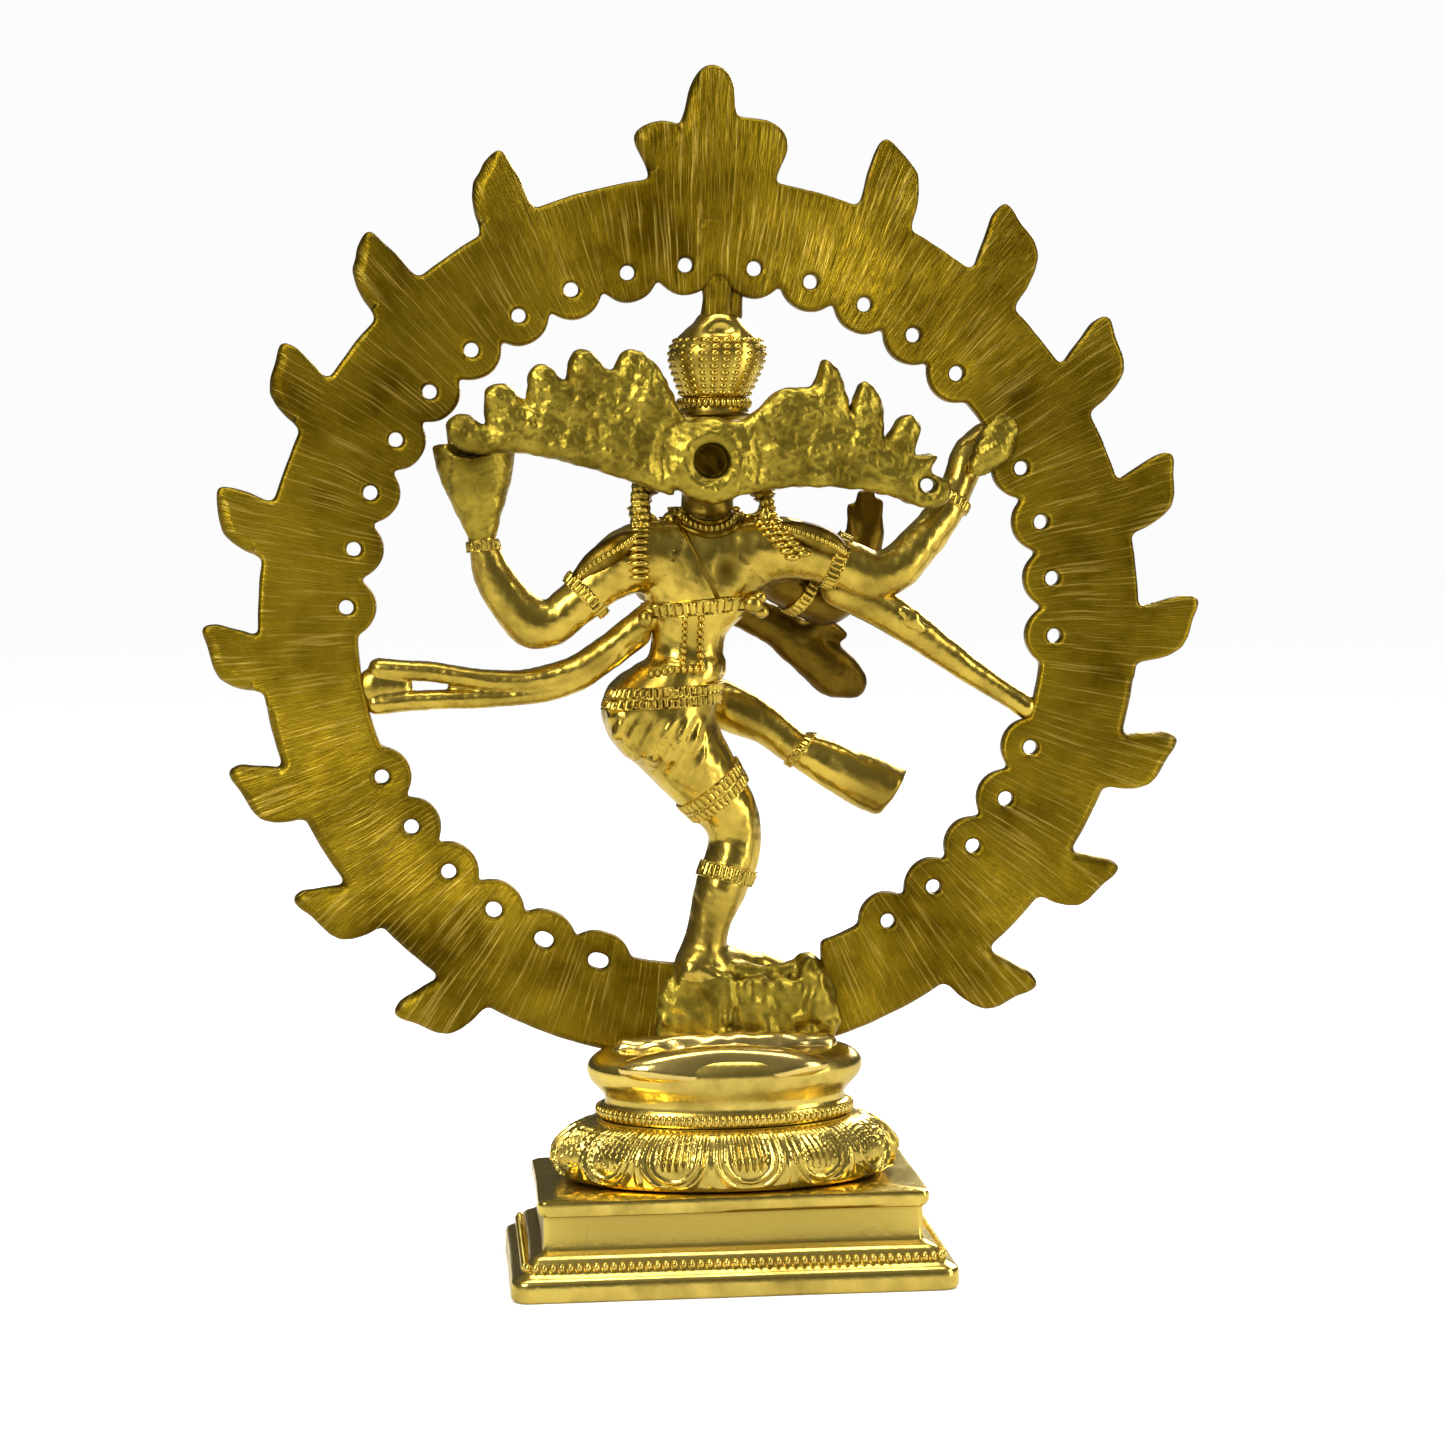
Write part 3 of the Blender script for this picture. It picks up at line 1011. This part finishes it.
BANDS = (  # name, what it is cast on, centre, axis, width, lift, radius, rows of ribs, reach, pitch of the ribs
    ("rear_left_armlet", "rear_left_arm", (22.2, -3.9, 113.6), (-0.72, 0, 0.69), 2.2, 0.75, 4.6, 1, 6.4, 1.1),
    ("rear_left_bracelet", "rear_left_arm", (39.2, -3.8, 122.0), (0.1, 0, 1), 1.8, 0.5, 2.7, 1, 5.0, 1.1),
    ("rear_right_armlet", "rear_right_arm", (-19.8, -3.9, 118.6), (-0.93, 0, -0.37), 2.4, 0.7, 4.8, 1, 6.6, 1.1),
    ("rear_right_bracelet", "rear_right_arm", (-39.6, -6.2, 128.6), (-0.48, -0.2, 0.85), 2.0, 0.6, 3.3, 1, 5.4,
     1.1),
    ("front_left_armlet", "front_left_arm", (6.4, -15.6, 113.9), (-0.9, -0.35, -0.3), 2.0, 0.6, 3.6, 1, 5.6, 1.1),
    ("front_right_armlet", "front_right_arm", (-14.6, -11.5, 113.7), (-0.78, -0.3, -0.5), 2.2, 0.6, 4.4, 1, 5.8,
     1.1),
    ("front_right_bracelet", "front_right_arm", (-24.6, -16.0, 115.6), (-0.45, -0.3, 0.85), 1.6, 0.5, 2.9, 1, 4.6,
     1.1),
    ("thigh_band", "standing_leg", (0.4, -8.4, 80.2), (-0.62, -0.1, -0.78), 4.2, 0.6, 6.4, 2, 8.6, 1.1),
    ("shin_bell_band", "standing_leg", (-1.0, -7.8, 66.0), (0.25, 0.1, -0.96), 2.8, 0.6, 5.0, 1, 7.0, 1.1),
    ("raised_anklet", "raised_leg", (-15.0, -15.7, 86.2), (-0.78, 0.1, -0.6), 1.6, 0.5, 3.6, 1, 6.0, 1.1),
    ("waist_belt", "waist_cloth torso", (8.6, BODY_Y, 96.6), (0.04, 0, 1), 3.6, 0.8, 8.6, 2, 11.5, 1.1),
    ("chest_band", "torso", (3.2, BODY_Y, 111.4), (0.07, 0, 1), 2.6, 0.7, 7.9, 1, 11.0, 1.4),
)
for band in BANDS:
    hug(*band)
TASSELS = (  # name, path (x, z) on the back, radii and pitch of the beads
    ("left_tassel_beads", [(13.2, 124.4), (13.6, 121.0), (13.3, 116.6)], (1.9, 1.1, 0.60), 1.05),
    ("right_tassel_beads", [(-6.9, 126.0), (-9.4, 122.6), (-12.0, 119.6)], (1.4, 1.0, 0.66), 1.15),
    ("right_tassel_beads_outer", [(-9.0, 126.0), (-11.4, 122.6), (-14.0, 120.2)], (1.4, 1.0, 0.66), 1.15),
    ("hip_beads", [(11.6, 100.4), (7.4, 101.2), (3.0, 101.2)], (0.55, 0.7, 0.7), 1.05),
    ("back_strand", [(5.9, 109.6), (6.0, 105.8), (6.4, 102.2)], (0.55, 0.7, 0.55), 0.95),
    ("back_strand_beads", [(3.2, 109.6), (3.3, 105.8), (3.2, 102.2)], (0.65, 0.8, 0.65), 1.15),
)
for strand in TASSELS:
    tassel(*strand)


def sacred_thread():
    row = Ornament()
    row.tube(on_back([(6.4, 125.0), (4.4, 121.0), (2.4, 117.2), (0.2, 112.4)], 0.05), 0.42)
    settle(row.piece("cast_sacred_thread", POLISHED), "polished_brass", "sacred_thread")


def arm_leaves():
    """The long ridged leaf on the top of each rear upper arm."""
    row = Ornament()
    for path in ([(25.0, 117.4), (21.2, 120.6), (16.6, 123.4), (13.6, 125.4)],
                 [(-9.6, 126.6), (-14.0, 125.2), (-18.6, 123.4), (-21.6, 121.6)]):
        inward = [(x * 0.985, z - 1.6) for x, z in path]
        line = on_back(inward, 0.15)
        reach = np.sin(np.linspace(0.12, math.pi - 0.25, len(line))) * 2.0 + 0.25
        row.tube(line, reach, squash=0.75, up=(0, 1, 0))
        for i in range(1, len(line) - 1):
            row.bead(line[i] + (0, 0.75 * reach[i], 0), (0.45, 0.42, 0.55))
    settle(row.piece("cast_arm_leaves", POLISHED), "polished_brass")


def knot():
    row = Ornament()
    for spot, radii in (((-5.4, 0.4, 111.9), (1.7, 1.1, 1.6)), ((-6.6, 0.0, 113.0), (1.2, 0.9, 1.1)),
                        ((-6.9, -0.4, 110.6), (1.3, 0.9, 1.1)), ((12.4, -1.4, 109.6), (1.3, 1.1, 1.6))):
        row.bead(spot, radii)
    settle(row.piece("cast_chest_knot", POLISHED), "polished_brass")


def necklace():
    """A broad collar: two cords with a row of beads between them, round the neck."""
    row = Ornament()
    outer = on_back([(7.2, 126.2), (5.6, 124.6), (1.8, 123.4), (-2.0, 124.2), (-3.8, 125.8)], 0.1)
    inner = on_back([(5.0, 127.2), (3.9, 126.0), (1.6, 125.4), (-0.8, 125.9), (-2.2, 127.0)], 0.1)
    row.tube(outer, 0.55)
    row.tube(inner, 0.5)
    for spot in even_spots((outer + inner) / 2, 0.9, closed=False):
        spot = (spot[0], back_of(spot[0], spot[2]) + 0.1, spot[2])
        row.bead(spot, (0.36, 0.5, 0.8))
    front = smooth_rows([(9.4, -6.0, 126.0), (6.8, -11.6, 121.6), (1.8, -13.2, 118.8), (-3.6, -11.6, 121.4),
                         (-6.2, -6.0, 126.0)], 8)
    row.tube(front, 0.6)
    row.string(front + (0, 0, -1.1), 1.1, (0.55, 0.55, 0.7), closed=False)
    settle(row.piece("cast_necklace", POLISHED), "polished_brass", "necklace")


sacred_thread()
arm_leaves()
knot()
necklace()


EYES = {"left_ear_tassel": (9.7, 127.7), "right_ear_tassel": (-5.5, 128.1)}


def ear_tassels():
    """Hair tassels that hang from behind the ears to the shoulders and leave an eye beside the neck."""
    for name, rows, lump in (
            ("left_ear_tassel", [(10.4, -5.0, 134.8, 1.6), (12.6, -4.4, 130.8, 1.7), (13.0, -3.6, 127.0, 1.8),
                                 (12.8, -3.0, 124.4, 2.0)], 41),
            ("right_ear_tassel", [(-5.6, -5.0, 134.4, 1.6), (-7.4, -4.4, 130.6, 1.8), (-7.8, -3.6, 127.2, 1.9),
                                  (-8.2, -3.2, 124.6, 2.0)], 42)):
        side = 1 if name.startswith("left") else -1
        middle = EYES[name]
        shape = limb(rows)
        lock = limb([(middle[0] - 4.4 * side, -6.6, 133.4, 2.4), (middle[0] - 0.4 * side, -5.8, 133.6, 2.4),
                     (middle[0] + 2.6 * side, -5.4, 131.0, 1.8)])
        pad = limb([(middle[0] - 4.0 * side, -6.0, 126.0, 2.2), (middle[0] + 1.0 * side, -5.2, 125.2, 2.4)])
        lo, hi = extent((shape, lock, pad))
        clay = Clay(lo - 0.8, hi + 0.8, 0.22)
        for part in (shape, lock, pad):
            clay.join(part, 0.8)
        clay.carve(limb([(middle[0], -12.0, middle[1], 1.5), (middle[0], 2.0, middle[1], 1.5)]), 0.6)
        clay.emboss(lo - 1, hi + 1, lambda x, y, z: 0.22 * ripple(x, y, z, 0.8, lump) + 0.12 * np.cos(z * 5.5))
        settle(clay.piece("cast_" + name, POLISHED), "polished_brass", name)


ear_tassels()

# ------------------------------------------------------------------ crown, strut and hair fan


def crown():
    levels = [(0.0, -6.9, 146.2, 5.6, 5.3), (-0.1, -6.9, 148.2, 6.4, 5.9), (-0.3, -6.9, 151.4, 7.7, 6.5),
              (-0.5, -6.8, 154.2, 8.0, 6.5), (-0.6, -6.6, 156.4, 6.6, 5.6), (-0.6, -6.2, 158.6, 4.3, 4.0),
              (-0.6, -5.9, 160.2, 3.2, 2.6)]
    clay = Clay((-11, -15, 145.2), (10, 1.6, 161.4), 0.24)
    clay.join(stack(levels, 2.2))
    clay.carve(egg((-0.6, -0.6, 157.4), (3.4, 2.0, 1.7)), 0.8)
    clay.emboss((-11, -15, 145), (10, 2, 162), lambda x, y, z: 0.10 * ripple(x, y, z, 1.6, 51) * (z > 155))
    settle(clay.piece("cast_crown", POLISHED), "polished_brass", "crown")
    row = Ornament()
    line = smooth_rows(levels, 4)
    strings = 24
    for string in range(strings):
        turn = 2 * math.pi * (string + 0.5) / strings
        path = []
        for z in np.linspace(147.0, 155.6, 40):
            cx, cy, a, b = (np.interp(z, line[:, 2], line[:, i]) for i in (0, 1, 3, 4))
            path.append((cx + a * math.cos(turn) * 0.925, cy + b * math.sin(turn) * 0.925, z))
        spots = even_spots(path, 1.02, closed=False)
        for i, spot in enumerate(spots):
            size = 0.82 + 0.26 * i / len(spots)
            row.bead(spot, (size, size, 0.60))
    settle(row.piece("cast_crown_beads", POLISHED), "polished_brass")

    band = Ornament()
    verts, faces = oval_loft([(142.4, 5.3), (142.9, 5.7), (144.0, 5.75), (146.0, 5.6), (146.4, 5.2)], 0.94, 72)
    band.add(verts + np.array([0.1, -7.2, 0]), faces)
    path = level_oval((0.1, -7.2, 145.3), 5.85, 5.5)
    band.string(path, 0.98, (0.52, 0.52, 0.92))
    band.tube(level_oval((0.1, -7.2, 143.4), 5.8, 5.45), 0.42, closed=True)
    settle(band.piece("cast_crown_band", POLISHED), "polished_brass", "crown_band")

    lo, hi = mm_box("crown_strut")
    strut = Clay(lo - 1.2, hi + 1.2, 0.24)
    middle = (lo + hi) / 2
    strut.join(limb([(-0.4, middle[1], lo[2] + 0.6, 3.0), (-0.4, middle[1], lo[2] + 3.5, 2.6),
                     (-0.4, middle[1], hi[2] - 1.4, 2.9)],
                    (0, 1, 0), 0.62))
    strut.join(limb([(-3.4, middle[1] - 0.4, lo[2] + 1.4, 1.2), (-3.9, middle[1] - 0.4, lo[2] + 5.4, 1.0)]), 0.3)
    strut.emboss(lo - 2, hi + 2, lambda x, y, z: 0.16 * ripple(x, y, z, 1.1, 52))
    settle(strut.piece("cast_crown_strut", FILED), "filed_brass", "crown_strut")


crown()


def hair_fan():
    lo, hi = mm_box("hair_fan")
    clay = Clay(lo - 1.0, hi + 1.0, 0.27)
    flat = flat_distance(outline_of("hair_fan", (10, 20)), clay.axes[0], clay.axes[2])
    (hub_x, hub_z), hub_r = HUB, 7.3
    flat_x, flat_z = clay.axes[0][:, None], clay.axes[2][None, :]
    flat = np.minimum(flat, np.hypot(flat_x - hub_x, flat_z - hub_z) - hub_r)
    flat = np.minimum(flat, np.maximum(np.abs(flat_x - hub_x) - 8.5, np.abs(flat_z - 136.6) - 5.7))
    edge = blurred(flat, 4)[:, None, :]
    x, y, z = clay.grid()
    away = np.hypot(x - hub_x, z - hub_z)
    thin = 0.9 * np.clip(1 + edge / 2.6, 0, 1) ** 2
    lumps = 0.26 * ripple(x, y, z, 3.4, 61, 12) + 0.10 * ripple(x, y, z, 1.1, 62, 16) + 0.07 * ripple(x, y, z,
                                                                                                      0.55, 63,
                                                                                                      16)
    back = y - (hi[1] - 0.75) + thin + 0.35 * np.clip((away - 14) / 10, 0, 1) - lumps
    back = back - 0.55 * np.exp(-((away - 4.4) / 1.0) ** 2) + 0.35 * np.exp(-((away - 8.4) / 2.0) ** 2)
    locks = 0.45 * np.cos(np.arctan2(z - hub_z + 16, x - hub_x) * 46) * np.clip((away - 8) / 6, 0, 1)
    front = (lo[1] + 0.45) - y + 0.5 * thin - 0.5 * locks * (edge < -0.5)
    edge = edge + 0.10 + 0.16 * ripple(x, y, z, 1.1, 64)
    clay.field[:] = soft_max(soft_max(edge, back, 0.9), front, 0.9)
    bore = limb([(hub_x, hi[1] - 1.7, hub_z, 2.8), (hub_x, hi[1] + 2.5, hub_z, 3.4)])
    clay.carve((bore[0], bore[1], lambda x, y, z: np.maximum(
        bore[2](x, y, z), (hi[1] - 2.3) - y + 0.35 * ripple(x, y, z, 1.6, 65))), 0.5)
    clay.carve(limb([(23.4, 0, 137.75, 0.55), (21.8, 0, 137.2, 0.8), (20.4, 0, 136.6, 0.5)], (0, 1, 0), 0.12),
               0.3, 6.0)
    fan = clay.piece("cast_hair_fan", ROUGH, 70)
    thin_out(fan, 0.7)
    settle(fan, "rough_cast_brass", "hair_fan")


hair_fan()

# ------------------------------------------------------------------ what the hands hold, sashes and clasps


def shaped(node, shapes, material, slot, k=0.8, step=0.26, rough=0.08, grain=1.6, seed=71, carve=()):
    """A small casting joined from a few shapes."""
    lo, hi = extent(shapes, 1.0)
    clay = Clay(lo, hi, step)
    for shape in shapes:
        clay.join(shape, k)
    for shape in carve:
        clay.carve(shape, 0.5)
    clay.emboss(lo, hi, lambda x, y, z: rough * ripple(x, y, z, grain, seed) + 0.4 * rough * ripple(x, y, z,
                                                                                                    grain / 3,
                                                                                                    seed + 1))
    return settle(clay.piece("cast_" + node, material), slot, node)


shaped("fire_bowl", [
    stack([(39.2, -3.9, 122.8, 2.2, 2.1), (39.5, -3.9, 126.0, 3.3, 2.5), (39.8, -3.9, 129.6, 4.7, 3.2),
           (40.2, -3.9, 134.2, 6.2, 4.0), (40.4, -3.9, 138.8, 6.8, 4.4)])],
    ROUGH, "rough_cast_brass", rough=0.10, seed=73,
    carve=[egg((40.4, -3.9, 139.8), (5.4, 3.2, 3.4)), egg((41.2, 0.2, 138.6), (4.2, 1.8, 1.9))])
shaped("fire_flame", [
    limb([(40.4, -4.6, 136.6, 2.6), (41.2, -4.8, 139.6, 1.7), (40.0, -4.8, 142.2, 0.6)]),
    limb([(43.0, -4.6, 137.0, 1.4), (44.4, -4.8, 140.6, 0.5)]),
    limb([(37.8, -4.6, 137.0, 1.4), (36.8, -4.8, 140.2, 0.5)])], ROUGH, "rough_cast_brass", seed=75)
shaped("damaru", [
    limb([(-52.1, -11.0, 138.9, 3.8), (-50.8, -11.0, 141.2, 2.4), (-49.6, -11.0, 143.2, 1.8),
          (-48.4, -11.0, 145.3, 2.4),
          (-47.1, -11.0, 147.5, 3.8)], None, 1.0, 4)],
    ROUGH, "rough_cast_brass", step=0.24, seed=77)
shaped("arch_clasp", [
    limb([(-44.2, -3.4, 134.6, 1.8), (-46.8, -3.6, 137.6, 3.2), (-48.6, -3.8, 140.8, 2.4)], (0, 1, 0), 0.7)],
    ROUGH, "rough_cast_brass", rough=0.2, grain=1.2, seed=79)
shaped("left_sash", [
    limb([(10.0, -5.2, 111.0, 2.3), (14.4, -4.9, 107.6, 2.4), (19.0, -4.8, 104.2, 2.4), (24.6, -4.8, 101.0, 2.3),
          (30.0, -4.8, 99.6, 2.1), (36.0, -4.8, 99.3, 1.8), (42.5, -4.8, 100.2, 1.7), (49.0, -4.8, 101.2, 1.7),
          (56.6, -4.9, 101.8, 1.7)]),
    limb([(13.0, -5.1, 106.6, 1.8), (18.4, -5.0, 102.8, 1.9), (23.4, -5.0, 99.4, 1.8), (29.4, -5.0, 97.4, 1.7),
          (36.0, -4.9, 96.6, 1.5), (43.0, -4.9, 96.5, 1.6), (49.0, -4.9, 96.4, 1.65), (57.2, -4.9, 95.8, 1.7)]),
    limb([(30.0, -5.4, 98.2, 1.6), (37.0, -5.4, 98.0, 1.8), (43.6, -5.4, 98.3, 1.7)], (0, 1, 0), 0.6),
    limb([(53.8, -5.2, 98.6, 2.6), (57.4, -5.2, 98.6, 3.2)], (0, 1, 0), 0.55)],
    POLISHED, "polished_brass", k=0.5, rough=0.08, grain=2.4, seed=81)
shaped("right_sash", [
    limb([(-20.4, -4.6, 114.0, 3.0), (-26.0, -5.0, 111.6, 3.3), (-31.6, -5.0, 108.2, 3.1),
          (-37.6, -5.0, 103.8, 2.6),
          (-43.6, -5.0, 99.4, 2.2), (-48.8, -5.0, 96.0, 1.9), (-52.4, -4.9, 93.6, 2.0)], (0, 1, 0), 0.85)],
    POLISHED, "polished_brass", rough=0.06, grain=2.2, seed=83)
shaped("sash_knot", [
    egg((-32.6, -3.0, 108.8), (1.7, 1.2, 1.8)), egg((-30.9, -3.0, 110.2), (1.0, 0.9, 1.0)),
    egg((-34.2, -3.2, 107.2), (1.0, 0.9, 1.0))],
    POLISHED, "polished_brass", seed=85)

# ------------------------------------------------------------------ floor, light and camera


LAMP_TARGET = (0.0, 0.0, 0.11)
LAMPS = (  # name, place, width, height, power, colour
    ("key", (0.36, 0.50, 0.42), 0.22, 0.34, 3.2, (1.0, 0.98, 0.94)),
    ("side", (-0.52, 0.34, 0.20), 0.16, 0.50, 1.6, (1.0, 0.97, 0.92)),
    ("front_key", (-0.36, -0.56, 0.42), 0.34, 0.40, 4.0, (1.0, 0.98, 0.94)),
    ("top", (0.0, 0.06, 0.62), 0.40, 0.22, 1.6, (1.0, 0.99, 0.96)),
)


def lamps():
    for name, spot, width, height, power, colour in LAMPS:
        light = bpy.data.lights.new(name, "AREA")
        light.shape = "RECTANGLE"
        light.size, light.size_y = width, height
        light.energy = power
        light.color = colour
        lamp = bpy.data.objects.new(name, light)
        lamp.location = spot
        lamp.rotation_euler = (Vector(LAMP_TARGET) - Vector(spot)).to_track_quat("-Z", "Y").to_euler()
        bpy.context.scene.collection.objects.link(lamp)


def pale_floor(size=3.0):
    """A plain pale floor; the brass mirrors a dimmer one than the one that is seen."""
    mesh = bpy.data.meshes.new("floor")
    mesh.from_pydata([(-size, -size, 0), (size, -size, 0), (size, size, 0), (-size, size, 0)], [], [(0, 1, 2, 3)])
    paint = bpy.data.materials.new("floor_paint")
    paint.use_nodes = True
    tree = paint.node_tree
    shader = tree.nodes["Principled BSDF"]
    shader.inputs["Base Color"].default_value = (0.90, 0.90, 0.90, 1)
    shader.inputs["Roughness"].default_value = 0.9
    shader.inputs["Specular IOR Level"].default_value = 0.1
    dim = add_node(tree, "BsdfDiffuse", {"Color": (0.54, 0.53, 0.49, 1)})
    ray = add_node(tree, "LightPath")
    either = add_node(tree, "MixShader", {0: ray.outputs["Is Glossy Ray"], 1: shader.outputs[0],
                                          2: dim.outputs[0]})
    tree.links.new(either.outputs[0], tree.nodes["Material Output"].inputs["Surface"])
    mesh.materials.append(paint)
    floor = bpy.data.objects.new("floor", mesh)
    bpy.context.scene.collection.objects.link(floor)


def surround():
    """An even pale surround, with a darker one, brighter overhead, for the metal to mirror."""
    world = bpy.data.worlds.new("studio")
    bpy.context.scene.world = world
    world.use_nodes = True
    tree = world.node_tree
    pale = tree.nodes["Background"]
    pale.inputs["Color"].default_value = (1.0, 1.0, 1.0, 1)
    pale.inputs["Strength"].default_value = 1.10
    direction = add_node(tree, "TexCoord").outputs["Generated"]
    ramp = add_node(tree, "ValToRGB", {"Fac": add_node(tree, "SeparateXYZ", {0: direction}).outputs["Z"]})
    ramp.color_ramp.elements[0].color = (0.03, 0.026, 0.018, 1)
    ramp.color_ramp.elements[1].color = (0.22, 0.215, 0.20, 1)
    mirrored = add_node(tree, "Background", {"Color": ramp.outputs["Color"]})
    seen = add_node(tree, "Background", {"Color": (0.975, 0.975, 0.975, 1)})
    ray = add_node(tree, "LightPath").outputs
    lit = add_node(tree, "MixShader", {0: ray["Is Glossy Ray"], 1: pale.outputs[0], 2: mirrored.outputs[0]})
    whole = add_node(tree, "MixShader", {0: ray["Is Camera Ray"], 1: lit.outputs[0], 2: seen.outputs[0]})
    tree.links.new(whole.outputs[0], tree.nodes["World Output"].inputs["Surface"])


def camera():
    yaw, pitch, roll = 0.0952, 0.0846, -0.0085
    ahead = Vector((-math.sin(yaw) * math.cos(pitch), -math.cos(yaw) * math.cos(pitch), -math.sin(pitch)))
    right = Vector((-math.cos(yaw), math.sin(yaw), 0))
    up = right.cross(ahead)
    turned = right * math.cos(roll) + up * math.sin(roll)
    up = up * math.cos(roll) - right * math.sin(roll)
    data = bpy.data.cameras.new("camera")
    data.sensor_width = 36.0
    data.lens = 77.8
    data.clip_start = 0.01
    view = bpy.data.objects.new("camera", data)
    axes = Matrix((turned, up, -ahead)).transposed().to_4x4()
    axes.translation = Vector((0.0491, 0.516, 0.1362))
    view.matrix_world = axes
    bpy.context.scene.collection.objects.link(view)
    bpy.context.scene.camera = view


pale_floor()
surround()
lamps()
camera()
bpy.context.scene.view_settings.view_transform = "Standard"
